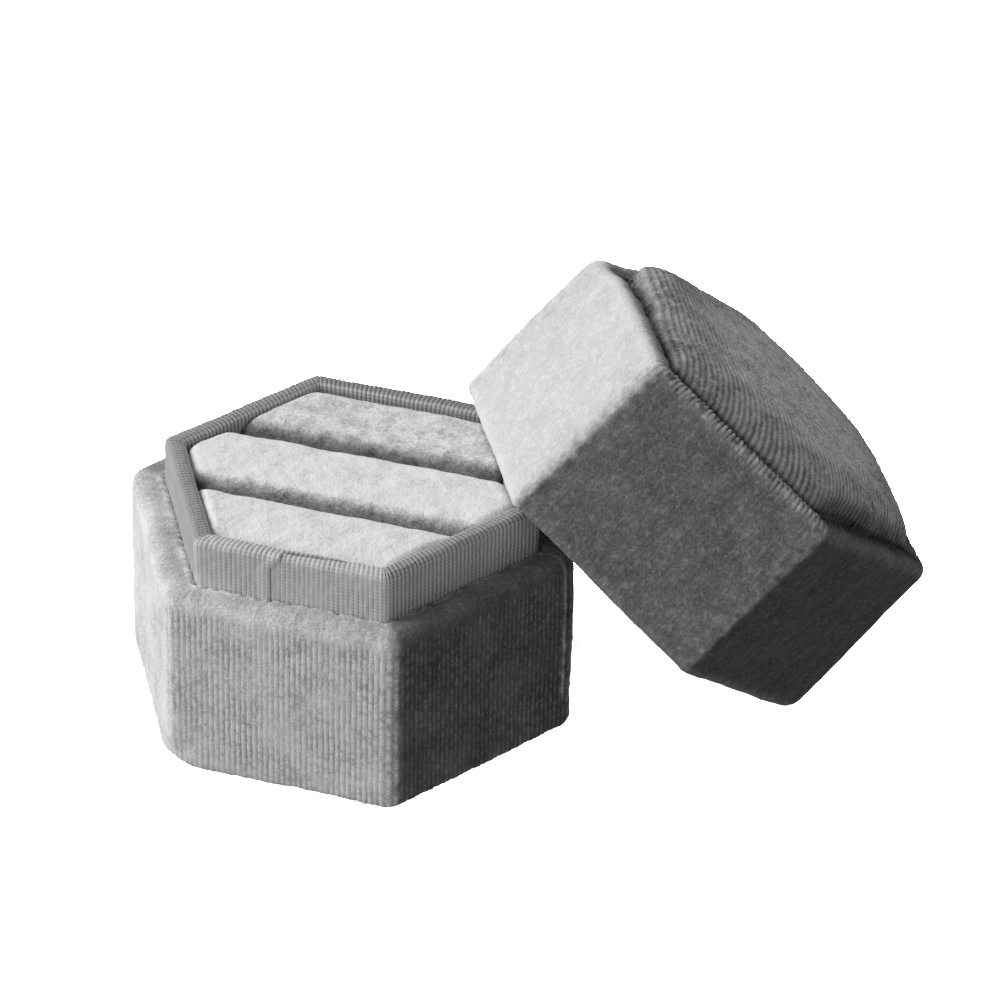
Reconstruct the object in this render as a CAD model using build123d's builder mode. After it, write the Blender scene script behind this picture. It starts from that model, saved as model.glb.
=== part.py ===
"""Hexagonal velvet ring box: a tub with a raised neck, three finger pads and a padded lift-off lid.

The tub stands at the origin with one flat side towards -Y. The lid lies beside it, one rim edge
on the floor and the opposite lip resting on top of the neck. Millimetres, +Z up.
"""
import os
from math import asin, atan2, cos, degrees, hypot, radians, sin

from build123d import *

os.makedirs("parts", exist_ok=True)

# ---- driving dimensions ----
sides = 6
turn = 360 / sides                # angle from one corner to the next
half_turn = turn / 2
to_apothem = cos(radians(half_turn))

# cloth and board
velvet = 0.8                      # backing and pile together
corner_round = 1.8                # upright corners of tub and lid
hem_turn = 0.6                    # velvet leaf turned down inside the crown's recess
ribbon = 0.45                     # ribbed ribbon on the neck
lining = 0.35                     # satin lining of the lid

# tub
base_across_corners = 55.4
base_height = 23.4                # floor to the velvet shoulder
base_board = 2.3
bottom_board = 1.8
bottom_cover = 0.5
cover_inset = 2.0                 # underside cover, in from the tub's face
hem_width = 4.0                   # velvet turned under the tub
cover_step = 0.3                  # cover's raised middle, clear of the hem
shoulder_round = 1.6
foot_round = 1.2

# neck
neck_rise = 6.3                   # neck rim above the shoulder
neck_card = 1.2
neck_fit = 0.3                    # ribbon to the tub's inner face
neck_round = 0.7                  # rim edges of the ribbon
neck_corner_round = 1.0
ribbon_reach = 3.0                # ribbon below the shoulder, outside
ribbon_inside = 5.0               # ribbon below the rim, inside

# ring pads
platform_card = 1.2
pad_fit = 0.3                     # pads and platform to the neck
middle_pad_width = 12.6
slot_width = 0.9
pad_drop = 0.35                   # pad crowns below the neck rim
pad_crown = 0.7                   # rise of a pad's top across its width
pad_shoulder = 2.3                # rounding along a pad's long edges
pad_end_round = 1.2
pad_velvet = 0.6

# lid
lid_height = 23.9                 # rim to the top of the walls
lid_fit = 0.23                    # lining to the neck's ribbon when closed
lid_board = 1.5
lid_top_board = 1.5
crown_recess = 2.6                # walls above the top board
lid_top_round = 1.7
rim_round = 1.2                   # outer edge of the rim
lip_round = 0.6                   # inner edge of the rim

# crown pad on the lid
crown_card = 1.0
crown_fit = 0.2                   # crown pad to the recess
crown_peak = 5.2                  # above the top of the walls
crown_radius = 90.0               # curve of the padded top
crown_round = 2.2                 # rounding along its border
crown_corner_round = 3.4          # and at its corners
crown_roundness = 0.85            # how far its inner outlines turn from hexagon to circle
crown_shares = (0.78, 0.64, 0.5, 0.36, 0.22, 0.1)   # of its half width, where outlines lie
bend_step = 30                    # degrees between the outlines of its border

# how the lid lies
lip_gap = 0.3                     # lip above the neck rim
lid_shift = -0.4                  # along the leaning edge


# ---- places worked out from them ----
base_apothem = base_across_corners / 2 * to_apothem
wall_outer = base_apothem - velvet
wall_inner = wall_outer - base_board
neck_apothem = wall_inner - neck_fit
neck_board_outer = neck_apothem - ribbon
neck_board_inner = neck_board_outer - neck_card
neck_inner = neck_board_inner - ribbon
neck_top = base_height + neck_rise

hem_top = bottom_cover + velvet
bottom_top = hem_top + bottom_board
pad_floor = bottom_top + platform_card
pad_top = neck_top - pad_drop
pad_limit = neck_inner - pad_fit

lid_inner = neck_apothem + lid_fit
lid_wall_inner = lid_inner + lining
lid_wall_outer = lid_wall_inner + lid_board
lid_apothem = lid_wall_outer + velvet
recess_floor = lid_height - crown_recess
ceiling = recess_floor - lid_top_board
recess_apothem = lid_wall_inner - hem_turn
crown_apothem = recess_apothem - crown_fit

# The lid's rim touches the floor along one edge, and its opposite lip lies on the neck rim:
# reach * sin(tilt) + bend * cos(tilt) = rise, with both edges rounded.
reach = lid_apothem - rim_round + lid_inner + lip_round
bend = lip_round - rim_round
rise = neck_top + lip_gap + bend
tilt = degrees(asin(rise / hypot(reach, bend))) - degrees(atan2(bend, reach))
lean = radians(tilt)
lip_seat = (neck_apothem + neck_inner) / 2      # middle of the neck rim
lid_away = lip_seat + (lid_inner + lip_round) * cos(lean) - lip_round * sin(lean)
lid_up = (lid_apothem - rim_round) * sin(lean) - rim_round * cos(lean) + rim_round

towards = Vector(cos(radians(half_turn)), sin(radians(half_turn)), 0)   # from tub to lid
along = Vector(-towards.Y, towards.X, 0)
upward = Vector(0, 0, 1)
lid_axis = towards * sin(lean) + upward * cos(lean)
lid_slope = towards * cos(lean) - upward * sin(lean)
lid_frame = Plane(
    origin=towards * lid_away + along * lid_shift + upward * lid_up,
    x_dir=lid_slope * cos(radians(half_turn)) - along * sin(radians(half_turn)),
    z_dir=lid_axis,
)
floor_frame = Plane.XY


# ---- helpers ----
def hexagon(apothem, rounding=0.0, mode=Mode.ADD):
    """A hexagon with a corner on +X, its corners rounded if asked. Used inside a sketch."""
    RegularPolygon(apothem, sides, major_radius=False, rotation=0, mode=mode)
    if rounding:
        fillet(vertices(), rounding)


def prism(frame, apothem, low, high, rounding=0.0, mode=Mode.ADD):
    """A hexagonal prism between two heights of a frame. Used inside a part."""
    with BuildSketch(frame.offset(low)) as outline:
        hexagon(apothem, rounding)
    extrude(outline.sketch, amount=high - low, mode=mode)


def loop_edges(part, frame, height):
    """The edges of a part that lie flat at one height of a frame."""
    def flat(edge):
        ends = [frame.to_local_coords(edge @ place).Z for place in (0, 0.5, 1)]
        return all(abs(end - height) < 1e-4 for end in ends)
    return part.edges().filter_by(flat)


def outer_loop(part, frame, height, apothem):
    """Those of them that run further out than an apothem."""
    def outside(edge):
        spot = frame.to_local_coords(edge @ 0.5)
        return hypot(spot.X, spot.Y) > apothem
    return loop_edges(part, frame, height).filter_by(outside)


def inner_loop(part, frame, height, apothem):
    """Those of them that lie no further out than the corners of an apothem."""
    def inside(edge):
        spot = frame.to_local_coords(edge @ 0.5)
        return hypot(spot.X, spot.Y) <= apothem
    return loop_edges(part, frame, height).filter_by(inside)


def write(part, name):
    """Labels a finished piece and writes its file."""
    part.label = name
    export_step(part, f"parts/{name}.step")


def walls(frame, outer, thickness, low, high, name):
    """Six mitred boards round a hexagon, each its own piece."""
    inner_corner = (outer - thickness) / to_apothem
    outer_corner = outer / to_apothem
    for side in range(sides):
        ends = [radians(turn * side), radians(turn * (side + 1))]
        outside = [(outer_corner * cos(end), outer_corner * sin(end)) for end in ends]
        inside = [(inner_corner * cos(end), inner_corner * sin(end)) for end in reversed(ends)]
        with BuildPart() as board:
            with BuildSketch(frame.offset(low)):
                Polygon(*outside, *inside)
            extrude(amount=high - low)
        write(board.part, f"{name}_{side + 1}")


# ---- tub ----
def make_tub():
    """Boards, velvet wrap and underside cover of the tub."""
    board_top = base_height - velvet
    walls(floor_frame, wall_outer, base_board, hem_top, board_top, "base_wall_board")

    with BuildPart() as base_bottom_board:
        prism(floor_frame, wall_inner, hem_top, bottom_top)
    write(base_bottom_board.part, "base_bottom_board")

    with BuildPart() as base_velvet_wrap:
        prism(floor_frame, base_apothem, bottom_cover, base_height, corner_round)
        fillet(loop_edges(base_velvet_wrap, floor_frame, base_height), shoulder_round)
        fillet(loop_edges(base_velvet_wrap, floor_frame, bottom_cover), foot_round)
        prism(floor_frame, wall_outer, hem_top, board_top, mode=Mode.SUBTRACT)
        prism(floor_frame, wall_inner, board_top, base_height, mode=Mode.SUBTRACT)
        hem_edge = base_apothem - hem_width
        prism(floor_frame, hem_edge, bottom_cover, hem_top, mode=Mode.SUBTRACT)
    write(base_velvet_wrap.part, "base_velvet_wrap")

    with BuildPart() as base_bottom_cover:
        prism(floor_frame, base_apothem - cover_inset, 0, bottom_cover, corner_round)
        prism(floor_frame, hem_edge - cover_step, bottom_cover, hem_top)
    write(base_bottom_cover.part, "base_bottom_cover")


# ---- neck ----
def make_neck():
    """The collar that the lid slides over: six cards in a folded ribbon."""
    walls(floor_frame, neck_board_outer, neck_card, bottom_top, neck_top - ribbon, "neck_board")

    with BuildPart() as neck_ribbon:
        foot = base_height - ribbon_reach
        prism(floor_frame, neck_apothem, foot, neck_top, neck_corner_round)
        fillet(loop_edges(neck_ribbon, floor_frame, neck_top), neck_round)
        prism(floor_frame, neck_inner, foot, neck_top, mode=Mode.SUBTRACT)
        rim = inner_loop(neck_ribbon, floor_frame, neck_top, neck_inner / to_apothem)
        fillet(rim, neck_round)
        with BuildSketch(floor_frame.offset(foot)):
            hexagon(neck_board_outer)
            hexagon(neck_board_inner, mode=Mode.SUBTRACT)
        extrude(amount=neck_top - ribbon - foot, mode=Mode.SUBTRACT)
        prism(floor_frame, neck_board_outer, foot, neck_top - ribbon_inside, mode=Mode.SUBTRACT)
    write(neck_ribbon.part, "neck_ribbon")


# ---- ring pads ----
def pad_body(front, back, limit, top, shoulder, end_round):
    """A pad: a crowned bar across the neck, cut to the neck's shape and rounded at its ends."""
    middle = (front + back) / 2
    side_top = top - pad_crown
    with BuildPart() as body:
        with BuildSketch(Plane.YZ) as section:
            with BuildLine():
                Polyline((back, side_top), (back, pad_floor), (front, pad_floor), (front, side_top))
                ThreePointArc((front, side_top), (middle, top), (back, side_top))
            make_face()
            fillet(section.vertices().group_by(Axis.Y)[-1], shoulder)
        extrude(amount=base_across_corners, both=True)
        prism(floor_frame, limit, pad_floor, neck_top, mode=Mode.INTERSECT)
        rims = body.edges().filter_by(lambda edge: at_slanted_end(edge, limit, side_top))
        fillet(rims, end_round)
    return body


def at_slanted_end(edge, limit, side_top):
    """Whether an edge runs over the top of one of a pad's slanted ends."""
    spots = [edge @ place for place in (0.25, 0.5, 0.75)]
    for facing in (half_turn, -half_turn, 180 - half_turn, 180 + half_turn):
        across, beyond = cos(radians(facing)), sin(radians(facing))
        on_end = all(abs(spot.X * across + spot.Y * beyond - limit) < 1e-3 for spot in spots)
        if on_end and min(spot.Z for spot in spots) > side_top - pad_shoulder:
            return True
    return False


def make_pads():
    """Card platform and three velvet pads, with a ring slot between neighbours."""
    with BuildPart() as insert_platform:
        prism(floor_frame, neck_board_inner - pad_fit, bottom_top, pad_floor)
    write(insert_platform.part, "insert_platform")

    half = middle_pad_width / 2
    bars = {
        "front": (-pad_limit, -half - slot_width),
        "middle": (-half, half),
        "back": (half + slot_width, pad_limit),
    }
    for name, (front, back) in bars.items():
        cover = pad_body(front, back, pad_limit, pad_top, pad_shoulder, pad_end_round)
        foam = pad_body(front + pad_velvet, back - pad_velvet, pad_limit - pad_velvet,
                        pad_top - pad_velvet, pad_shoulder - pad_velvet,
                        pad_end_round - pad_velvet)
        with BuildPart() as pad_cover:
            add(cover.part)
            add(foam.part, mode=Mode.SUBTRACT)
        write(foam.part, f"pad_foam_{name}")
        write(pad_cover.part, f"pad_cover_{name}")


# ---- lid ----
def make_lid():
    """Boards, velvet wrap and lining of the lid."""
    board_top = lid_height - velvet
    walls(lid_frame, lid_wall_outer, lid_board, velvet, board_top, "lid_wall_board")

    with BuildPart() as lid_top:
        prism(lid_frame, lid_wall_inner, ceiling, recess_floor)
    write(lid_top.part, "lid_top_board")

    with BuildPart() as lid_velvet_wrap:
        prism(lid_frame, lid_apothem, 0, lid_height, corner_round)
        fillet(loop_edges(lid_velvet_wrap, lid_frame, lid_height), lid_top_round)
        fillet(loop_edges(lid_velvet_wrap, lid_frame, 0), rim_round)
        prism(lid_frame, lid_inner, 0, velvet, mode=Mode.SUBTRACT)
        fillet(inner_loop(lid_velvet_wrap, lid_frame, 0, lid_inner / to_apothem), lip_round)
        prism(lid_frame, lid_wall_outer, velvet, recess_floor, mode=Mode.SUBTRACT)
        with BuildSketch(lid_frame.offset(recess_floor)):
            hexagon(lid_wall_outer)
            hexagon(lid_wall_inner, mode=Mode.SUBTRACT)
        extrude(amount=board_top - recess_floor, mode=Mode.SUBTRACT)
        prism(lid_frame, recess_apothem, recess_floor, lid_height, mode=Mode.SUBTRACT)
    write(lid_velvet_wrap.part, "lid_velvet_wrap")

    with BuildPart() as lid_lining:
        prism(lid_frame, lid_wall_inner, velvet, ceiling)
        prism(lid_frame, lid_inner, velvet, ceiling, mode=Mode.SUBTRACT)
    write(lid_lining.part, "lid_lining")

    with BuildPart() as lid_ceiling_lining:
        prism(lid_frame, lid_inner, ceiling - lining, ceiling)
    write(lid_ceiling_lining.part, "lid_ceiling_lining")


def crown_body(apothem, peak, radius, border, corner, low):
    """A padded top: straight sides, a rounded border and a shallow dome up to its peak."""
    def dome(distance):
        return peak - radius + (radius**2 - distance**2) ** 0.5

    def softened(reach):
        return corner * reach / apothem + crown_roundness * reach * (1 - reach / apothem)

    edge = dome(apothem - border) - border
    bends = [radians(bend_step * step) for step in (1, 2, 3)]
    rings = [(apothem, edge)]
    rings += [(apothem - border * (1 - cos(turned)), edge + border * sin(turned))
              for turned in bends]
    rings += [(apothem * share, dome(apothem * share)) for share in crown_shares]
    with BuildPart() as body:
        prism(lid_frame, apothem, low, edge, corner)
        outlines = []
        for reach, height in rings:
            with BuildSketch(lid_frame.offset(height)) as outline:
                hexagon(reach, softened(reach))
            outlines.append(outline.sketch)
        loft(outlines, ruled=True)
    return body


def make_crown():
    """Card, foam and velvet of the padded top."""
    card_top = recess_floor + crown_card
    with BuildPart() as crown_card_part:
        card_corner = crown_corner_round - velvet
        prism(lid_frame, crown_apothem - velvet, recess_floor, card_top, card_corner)
    write(crown_card_part.part, "lid_crown_card")

    peak = lid_height + crown_peak
    cover = crown_body(crown_apothem, peak, crown_radius, crown_round, crown_corner_round,
                       recess_floor)
    foam = crown_body(crown_apothem - velvet, peak - velvet, crown_radius - velvet,
                      crown_round - velvet, crown_corner_round - velvet, card_top)
    write(foam.part, "lid_crown_foam")

    with BuildPart() as crown_cover:
        add(cover.part)
        add(foam.part, mode=Mode.SUBTRACT)
        add(crown_card_part.part, mode=Mode.SUBTRACT)
    write(crown_cover.part, "lid_crown_cover")


make_tub()
make_neck()
make_pads()
make_lid()
make_crown()
print(f"lid tilted {tilt:.2f} degrees, rim centre {lid_away:.2f} out and {lid_up:.2f} up")
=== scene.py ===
import bmesh
import bpy
import numpy as np
from mathutils import Matrix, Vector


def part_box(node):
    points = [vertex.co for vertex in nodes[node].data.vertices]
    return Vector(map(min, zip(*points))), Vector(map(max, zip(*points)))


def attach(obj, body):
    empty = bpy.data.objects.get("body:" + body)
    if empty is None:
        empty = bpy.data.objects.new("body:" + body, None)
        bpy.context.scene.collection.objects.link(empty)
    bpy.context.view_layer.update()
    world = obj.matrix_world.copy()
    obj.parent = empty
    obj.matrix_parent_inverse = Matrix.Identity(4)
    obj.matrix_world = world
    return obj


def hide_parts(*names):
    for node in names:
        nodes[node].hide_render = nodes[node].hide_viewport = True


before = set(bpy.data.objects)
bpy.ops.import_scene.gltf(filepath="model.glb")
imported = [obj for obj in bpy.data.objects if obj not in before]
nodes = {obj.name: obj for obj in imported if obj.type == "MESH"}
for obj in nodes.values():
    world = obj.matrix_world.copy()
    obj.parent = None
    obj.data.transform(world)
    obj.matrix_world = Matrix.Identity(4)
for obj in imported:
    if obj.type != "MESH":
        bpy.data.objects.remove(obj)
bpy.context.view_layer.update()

mm = 0.001
hiddenCorner = 0.06      # corner radius of the cloth's unseen inner side
ribMean = 0.6            # a rib's mean height, as a share of its full height


# measuring the frame

def nodeSpots(name):
    # corners of a CAD node in millimetres, each once
    mesh = nodes[name].data
    flat = np.empty(len(mesh.vertices) * 3)
    mesh.vertices.foreach_get("co", flat)
    return np.unique(np.round(flat.reshape(-1, 3) / mm, 4), axis=0)


def unit(vector):
    # a vector divided by its own length
    return vector / np.linalg.norm(vector)


tubLow, tubHigh = (np.array(corner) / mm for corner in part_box("base_velvet_wrap"))
neckLow, neckHigh = (np.array(corner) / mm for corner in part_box("neck_ribbon"))
padLow, padHigh = (np.array(corner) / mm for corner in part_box("pad_cover_middle"))

tubApothem, tubHeight, tubFoot = tubHigh[1], tubHigh[2], tubLow[2]
neckApothem, neckTop, neckFoot = neckHigh[1], neckHigh[2], neckLow[2]

# the lid's own directions come from the middles of its six wall boards
boardMiddles = np.array([nodeSpots(f"lid_wall_board_{k}").mean(0) for k in range(1, 7)])
lidMiddle = boardMiddles.mean(0)
lidX = unit(boardMiddles[0] + boardMiddles[5] - 2 * lidMiddle)
lidUp = unit(np.cross(lidX, boardMiddles[1] - lidMiddle))
lidY = np.cross(lidUp, lidX)
wrapRise = (nodeSpots("lid_velvet_wrap") - lidMiddle) @ lidUp
lidRim = lidMiddle + lidUp * wrapRise.min()          # middle of the lid's mouth
lidHeight = wrapRise.max() - wrapRise.min()
crownRise = (nodeSpots("lid_crown_cover") - lidRim) @ lidUp
crownFloor, crownPeak = crownRise.min(), crownRise.max()
atTub = (np.zeros(3), np.eye(3))
atLid = (lidRim, np.array([lidX, lidY, lidUp]))
print("frame read: tub apothem %.2f, lid height %.2f, crown peak %.2f" % (tubApothem, lidHeight, crownPeak))


# shapes

def ripple(spots, size, seed):
    # smooth noise from about -1 to 1: a sum of plane waves of random direction and phase, so it has no seam
    dice, waves = np.random.default_rng(seed), 32
    heading = dice.normal(size=(waves, 3))
    heading /= np.linalg.norm(heading, axis=1)[:, None]
    pitch = 2 * np.pi / (size * dice.uniform(0.7, 1.7, waves))
    phase = dice.uniform(0, 2 * np.pi, waves)
    total = np.zeros(spots.shape[:-1])
    for way, step, shift in zip(heading, pitch, phase):
        total += np.sin(spots @ (way * step) + shift)
    return total / np.sqrt(waves / 2) / 1.6


def grainOf(spots, waves):
    # the sum of several ripples, each with its own depth, size and seed
    return sum(depth * ripple(spots, size, seed) for depth, size, seed in waves)


def alongWay(x, y, degrees):
    # how far (x, y) reaches in one direction: x cos + y sin
    return x * np.cos(np.radians(degrees)) + y * np.sin(np.radians(degrees))


def smooth(value, low, high):
    # 0 below low, 1 above high, and an S-curve between
    share = np.clip((value - low) / (high - low), 0, 1)
    return share * share * (3 - 2 * share)


def hexOutline(turn, apothem, corner, cornerShare=0.034):
    # turn runs 0 to 6, a corner at each whole number: the sharp hexagon shrunk by the corner radius,
    # plus that radius along the outward normal, which swings only near the corners
    side = np.floor(turn)
    share = turn - side
    slide = np.clip((share - cornerShare) / (1 - 2 * cornerShare), 0, 1)
    swing = np.clip(share / cornerShare, 0, 1) + np.clip((share - 1 + cornerShare) / cornerShare, 0, 1)
    facing = np.radians(60 * side + 30 * swing)
    start, end = np.radians(60 * side), np.radians(60 * side + 60)
    reach = (apothem - corner) / np.cos(np.radians(30))
    x = reach * ((1 - slide) * np.cos(start) + slide * np.cos(end)) + corner * np.cos(facing)
    y = reach * ((1 - slide) * np.sin(start) + slide * np.sin(end)) + corner * np.sin(facing)
    return x, y, facing


def profile(points, spacing):
    # a closed line through (reach, height, spacing scale) points, resampled; its points and outward normals
    points = np.array(points, float)
    loop = np.vstack([points, points[:1]])
    rows = []
    for here, there in zip(loop[:-1], loop[1:]):
        count = max(1, int(np.ceil(np.hypot(*(there - here)[:2]) / (spacing * here[2]))))
        rows.append(here + (there - here) * np.linspace(0, 1, count, endpoint=False)[:, None])
    line = np.vstack(rows)[:, :2]
    ahead = np.roll(line, -1, 0) - np.roll(line, 1, 0)
    ahead /= np.maximum(np.linalg.norm(ahead, axis=1), 1e-9)[:, None]
    return line, np.stack([-ahead[:, 1], ahead[:, 0]], 1)


def arc(middle, radius, start, end, steps):
    # points of a bend in the (reach, height) plane: middle + radius at angles from the outward direction
    angles = np.radians(np.linspace(start, end, steps))
    return [(middle[0] + radius * np.cos(a), middle[1] + radius * np.sin(a), 1) for a in angles]


def gridFaces(rows, columns, closeRows, closeColumns):
    # quads between neighbours: columns run anticlockwise and rows run down the outside, so faces point out
    r = np.arange(rows if closeRows else rows - 1)
    c = np.arange(columns if closeColumns else columns - 1)
    r, c = (part.ravel() for part in np.meshgrid(r, c, indexing="ij"))
    nextR, nextC = (r + 1) % rows, (c + 1) % columns
    quads = np.stack([r * columns + c, nextR * columns + c, nextR * columns + nextC, r * columns + nextC], 1)
    corners = np.stack([r, c, r + 1, c, r + 1, c + 1, r, c + 1], 1).reshape(-1, 4, 2)
    return quads, corners


def makePiece(name, spots, faces, place, uv, tone, weld=False):
    # spots are millimetres in the tub's or the lid's own frame: world = origin + spots x axes;
    # uv is one pair for each face corner, and tone a named value for each point
    origin, axes = place
    world = (origin + spots.reshape(-1, 3) @ axes) * mm
    world[:, 2] = np.maximum(world[:, 2], 0)        # cloth lies flat where it meets the floor
    mesh = bpy.data.meshes.new(name)
    mesh.from_pydata(world.tolist(), [], [list(face) for face in faces])
    layer = mesh.uv_layers.new(name="cloth")
    layer.data.foreach_set("uv", np.asarray(uv, np.float32).ravel())
    for label, values in tone.items():
        attribute = mesh.attributes.new(label, "FLOAT", "POINT")
        attribute.data.foreach_set("value", np.asarray(values, np.float32).ravel())
    if weld:
        work = bmesh.new()
        work.from_mesh(mesh)
        bmesh.ops.remove_doubles(work, verts=work.verts, dist=1e-6)
        bmesh.ops.recalc_face_normals(work, faces=work.faces)
        work.to_mesh(mesh)
        work.free()
    mesh.polygons.foreach_set("use_smooth", [True] * len(mesh.polygons))
    mesh.update()
    piece = bpy.data.objects.new(name, mesh)
    bpy.context.scene.collection.objects.link(piece)
    return piece


def ribs(along, pitch):
    # 0 in the groove and 1 on the crest, a half circle across each rib
    phase = np.mod(along / pitch, 1)
    return np.sqrt(np.clip(1 - (2 * phase - 1) ** 2, 0, 1))


# materials

class Value:
    # an output socket: sums with it add their Math nodes
    def __init__(self, tree, socket):
        self.tree, self.socket = tree, socket

    def math(self, operation, *terms):
        return self.tree.node("Math", {"operation": operation}, *terms)

    def __add__(self, other):
        return self.math("ADD", self, other)

    def __radd__(self, other):
        return self.math("ADD", other, self)

    def __sub__(self, other):
        return self.math("SUBTRACT", self, other)

    def __rsub__(self, other):
        return self.math("SUBTRACT", other, self)

    def __mul__(self, other):
        return self.math("MULTIPLY", self, other)

    def __rmul__(self, other):
        return self.math("MULTIPLY", other, self)

    def __truediv__(self, other):
        return self.math("DIVIDE", self, other)

    def __pow__(self, other):
        return self.math("POWER", self, other)

    def __mod__(self, other):
        return self.math("FLOORED_MODULO", self, other)

    def clamp(self):
        return self.tree.node("Clamp", {}, self)

    def floor(self):
        return self.math("FLOOR", self)

    def abs(self):
        return self.math("ABSOLUTE", self)


class Finish:
    # one material: node() adds any node, look() sets the shader's sockets
    def __init__(self, name):
        self.material = bpy.data.materials.new(name)
        self.material.use_nodes = True
        self.nodes, self.links = self.material.node_tree.nodes, self.material.node_tree.links
        self.shader = self.nodes["Principled BSDF"]

    def plug(self, socket, value):
        # a link for a Value, a fixed setting for anything else
        if isinstance(value, Value):
            self.links.new(value.socket, socket)
        else:
            socket.default_value = value

    def node(self, kind, settings, *values, out=0, **named):
        # any node: its kind, its settings, then its sockets by place or by name
        node = self.nodes.new("ShaderNode" + kind)
        for key, value in settings.items():
            setattr(node, key, value)
        for index, value in enumerate(values):
            if value is not None:
                self.plug(node.inputs[index], value)
        for key, value in named.items():
            self.plug(node.inputs[key.replace("_", " ")], value)
        return Value(self, node.outputs[out])

    def spot(self, size, shift=(0, 0, 0)):
        # where on the object, in units of size millimetres
        here = self.node("TexCoord", {}, out="Object")
        return self.node("Mapping", {}, here, shift, (0, 0, 0), (1000 / size,) * 3)

    def noise(self, size, detail=2.0, rough=0.5, vector=None, shift=(0, 0, 0)):
        # clouds about size millimetres across, or in the units of the vector given
        vector = self.spot(size, shift) if vector is None else vector
        return self.node("TexNoise", {}, Vector=vector, Scale=1.0, Detail=detail, Roughness=rough)

    def cloth(self):
        # the cloth's own directions in millimetres
        pair = self.node("UVMap", {"uv_map": "cloth"})
        return (self.node("SeparateXYZ", {}, pair, out=0), self.node("SeparateXYZ", {}, pair, out=1))

    def painted(self, label):
        # a tone stored at each point of the mesh
        return self.node("Attribute", {"attribute_name": label}, out="Fac")

    def join(self, x, y, z=0.0):
        # three numbers as one vector
        return self.node("CombineXYZ", {}, x, y, z)

    def blend(self, share, first, second):
        # a colour between first, at share 0, and second, at share 1
        mix = self.nodes.new("ShaderNodeMix")
        mix.data_type = "RGBA"
        for key, value in (("Factor_Float", share), ("A_Color", first), ("B_Color", second)):
            socket = next(s for s in mix.inputs if s.identifier == key)
            self.plug(socket, (*value, 1) if isinstance(value, tuple) else value)
        return Value(self, next(s for s in mix.outputs if s.identifier == "Result_Color"))

    def look(self, **sockets):
        # the shader's own sockets
        for key, value in sockets.items():
            self.plug(self.shader.inputs[key.replace("_", " ")], value)

    def bump(self, height, depth, strength=1.0):
        # depth in millimetres
        self.look(Normal=self.node("Bump", {}, Height=height, Distance=depth * mm, Strength=strength))


def velvet(name, cut):
    # brushed pile: the piece's painted light and shade, standing in for its nap too, x (1 + ribs + broken
    # bright dashes along them + grain + patches)
    cloth = Finish(name)
    across, down = cloth.cloth()
    paintedShading, worn = cloth.painted("paintedShading"), cloth.painted("ribs")
    wander = (cloth.noise(cut["wanderSize"], 1.0) - 0.5) * cut["wander"]
    lane = (across + wander) / cut["pitch"]
    crest = 1 - ((lane % 1.0) * 2 - 1).abs()
    dash = cloth.noise(1, 4.0, 0.8, vector=cloth.join(lane.floor() * 7.3 + crest * 0.5, down / cut["dash"]))
    dash = ((dash - 0.43) * 4.2).clamp()
    pile = ((cloth.noise(cut["pile"], 2.0, 0.6) - 0.28) * 2.2).clamp()
    stroke = cloth.noise(cut["stroke"][0], 1.5, 0.6, shift=(5, 2, 1))
    stroke = ((stroke - cut["stroke"][1]) * 4.0).clamp()
    patch = cloth.noise(cut["patch"], 2.0, 0.55, shift=(3, 1, 7))
    grain = (pile - 0.5) * cut["pileShade"] + (stroke - 0.3) * cut["strokeShade"]
    tone = ((crest - 0.5) * worn * cut["ribShade"] + (dash * crest - 0.17) * worn * cut["dashShade"]
            + grain * (1 - worn * cut["ribCalm"]) + (patch - 0.5) * cut["patchShade"])
    tone = 1 + tone * (1.3 - paintedShading * cut["calm"])       # brightly lit pile hides its own grain
    share = (paintedShading * tone).clamp()
    cloth.look(Base_Color=cloth.blend(share, cut["deep"], cut["bright"]), Roughness=0.95,
               Specular_IOR_Level=0.1, Sheen_Weight=cut["sheen"], Sheen_Roughness=0.35,
               Sheen_Tint=(*cut["sheenTint"], 1))
    cloth.bump(pile * 0.6 + stroke * 0.4, cut["relief"], 0.8)
    return cloth.material


def dress(piece, material, body, slot, *covers):
    # its material, the body it moves with, a slot name that is not used, and the CAD nodes it stands for
    piece.data.materials.append(material)
    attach(piece, body)
    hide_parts(*covers)
    return piece


# tub: velvet over the side boards, the shoulder and the foot

tub = {
    "columns": 960, "spacing": 0.62, "side": 27.6, "pitch": 0.69, "ribDepth": 0.09, "corner": 1.7,
    "shoulder": 1.15, "neckEdge": 0.5, "foot": 0.5, "board": 2.3, "velvet": 0.8, "hem": 4.0,
    "smoothBand": 1.9,                                      # no ribs this near the top
    "pile": 0.72, "thinPile": 0.1,                          # on the sides, and under the foot
    "grain": ((0.045, 0.9, 12), (0.045, 3.5, 13), (0.09, 16, 14)),      # depth, size and seed of each ripple
    "perFace": (0.14, 0.32, 0.52, 0.93, 0.97, 0.115),          # painted light and shade of the faces at 30, 90 ... 330 degrees
    "ribFaces": (0.8, 0.8, 0.7, 0.2, 1.0, 0.72), "puff": (0, 0.2, 0.4, 0.24, 0, 0),
    # a painted highlight on the upright corners, and its width
    "edgeHighlight": 0.08, "highlightWidth": 0.7,
    "rubbed": {"corner": 4, "depth": 0.8, "width": 0.07, "height": 5},  # one corner is worn back at its foot
    "rimHighlight": {"at": 5.955, "width": 0.2, "light": 0.30},   # a painted highlight line down one side, near an upright corner
}
tubCloth = {
    "pitch": tub["pitch"], "dash": 1.1, "pile": 0.26, "stroke": (0.8, 0.5), "patch": 5.0, "wander": 0.14,
    "wanderSize": 5.0, "ribShade": 0.22, "dashShade": 1.9, "pileShade": 0.6, "strokeShade": 0.25,
    "calm": 0.55, "ribCalm": 0.3, "patchShade": 1.15, "deep": (0.012, 0.012, 0.013),
    "bright": (0.95, 0.95, 0.96), "sheen": 0.25, "sheenTint": (0.9, 0.9, 0.92), "relief": 0.12,
}


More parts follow.
